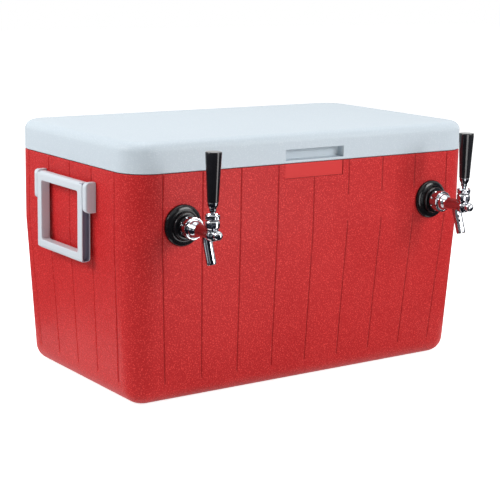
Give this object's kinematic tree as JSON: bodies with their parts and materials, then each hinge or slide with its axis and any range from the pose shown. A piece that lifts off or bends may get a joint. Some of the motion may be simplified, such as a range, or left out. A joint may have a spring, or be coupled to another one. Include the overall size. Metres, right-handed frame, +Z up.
{
  "type": "jockey box beer cooler",
  "caption": "Insulated picnic chest that chills draught beer: keg lines enter at the back, run through coils in ice and leave by lever taps on the front.",
  "frame": {"origin": "centre of the flat base", "axes": "+X along the length to the right end with the drain, the taps face -Y, +Z up"},
  "size_m": [0.6552, 0.4818, 0.377],
  "materials": {
    "shell_red": "pebbled, satin",
    "lid_white": "pebbled, satin",
    "trim_white": "smooth, satin",
    "liner_white": "smooth",
    "foam": "open-cell foam",
    "chrome": "polished",
    "steel": "brushed",
    "flange_black": "glossy moulded",
    "handle_black": "glossy moulded",
    "rubber": "matt"
  },
  "bodies": {
    "chest": {"outer_shell": "shell_red", "insulation_foam": "foam", "inner_liner": "liner_white", "hinge_body_screws": "steel", "coupling_gaskets": "rubber", "shank_nuts": "steel", "coil_nuts": "steel", "handle_pivot_pins": "steel", "drain_body": "trim_white", "drain_gasket": "rubber", "drain_nut": "trim_white", "hinge_body_leaf_left": "trim_white", "hinge_body_leaf_right": "trim_white", "hinge_pin_left": "steel", "hinge_pin_right": "steel", "tap_flange_left": "flange_black", "tap_flange_right": "flange_black", "tap_shank_left": "chrome", "tap_shank_right": "chrome", "coupling_nut_left": "chrome", "coupling_nut_right": "chrome", "faucet_body_left": "chrome", "faucet_body_right": "chrome", "ball_washer_left": "rubber", "ball_washer_right": "rubber", "bonnet_left": "chrome", "bonnet_right": "chrome", "inlet_flange_left": "flange_black", "inlet_flange_right": "flange_black", "inlet_shank_left": "chrome", "inlet_shank_right": "chrome", "cooling_coil_left": "steel", "cooling_coil_right": "steel", "handle_brackets_left": "trim_white", "handle_brackets_right": "trim_white"},
    "lid": {"lid_shell": "lid_white", "lid_foam": "foam", "lid_liner": "liner_white", "lid_gasket": "rubber", "hinge_lid_leaf_left": "trim_white", "hinge_lid_leaf_right": "trim_white", "hinge_lid_screws": "steel"},
    "left_lever": {"tap_lever_left": "steel", "lever_collar_left": "chrome", "tap_handle_left": "handle_black"},
    "right_lever": {"tap_lever_right": "steel", "lever_collar_right": "chrome", "tap_handle_right": "handle_black"},
    "left_valve": {"valve_shaft_left": "steel", "seat_washer_left": "rubber"},
    "right_valve": {"valve_shaft_right": "steel", "seat_washer_right": "rubber"},
    "left_carry_handle": {"carry_handle_left": "trim_white"},
    "right_carry_handle": {"carry_handle_right": "trim_white"},
    "drain_plug": {"drain_cap": "trim_white"}
  },
  "joints": [
    {"name": "lid_hinge", "type": "hinge", "parent": "chest", "child": "lid", "pos_m": [0, 0.1825, 0.335], "axis": [-1, 0, 0], "range_deg": [0, 100]},
    {"name": "left_tap_lever", "type": "hinge", "parent": "chest", "child": "left_lever", "pos_m": [-0.228, -0.2515, 0.277], "axis": [1, 0, 0], "range_deg": [0, 25]},
    {"name": "left_tap_valve", "type": "slide", "parent": "chest", "child": "left_valve", "axis": [0, 1, 0], "range_m": [0, 0.0075]},
    {"name": "left_handle_pivot", "type": "hinge", "parent": "chest", "child": "left_carry_handle", "pos_m": [-0.3195, 0, 0.304], "axis": [0, 1, 0], "range_deg": [0, 95]},
    {"name": "right_tap_lever", "type": "hinge", "parent": "chest", "child": "right_lever", "pos_m": [0.228, -0.2515, 0.277], "axis": [1, 0, 0], "range_deg": [0, 25]},
    {"name": "right_tap_valve", "type": "slide", "parent": "chest", "child": "right_valve", "axis": [0, 1, 0], "range_m": [0, 0.0075]},
    {"name": "right_handle_pivot", "type": "hinge", "parent": "chest", "child": "right_carry_handle", "pos_m": [0.3195, 0, 0.304], "axis": [0, -1, 0], "range_deg": [0, 95]},
    {"name": "drain_cap_pull", "type": "slide", "parent": "chest", "child": "drain_plug", "axis": [1, 0, 0], "range_m": [0, 0.03]}
  ],
  "couplings": [
    {"joint": "left_tap_valve", "follows": "left_tap_lever", "m_per_rad": 0.017},
    {"joint": "right_tap_valve", "follows": "right_tap_lever", "m_per_rad": 0.017}
  ]
}
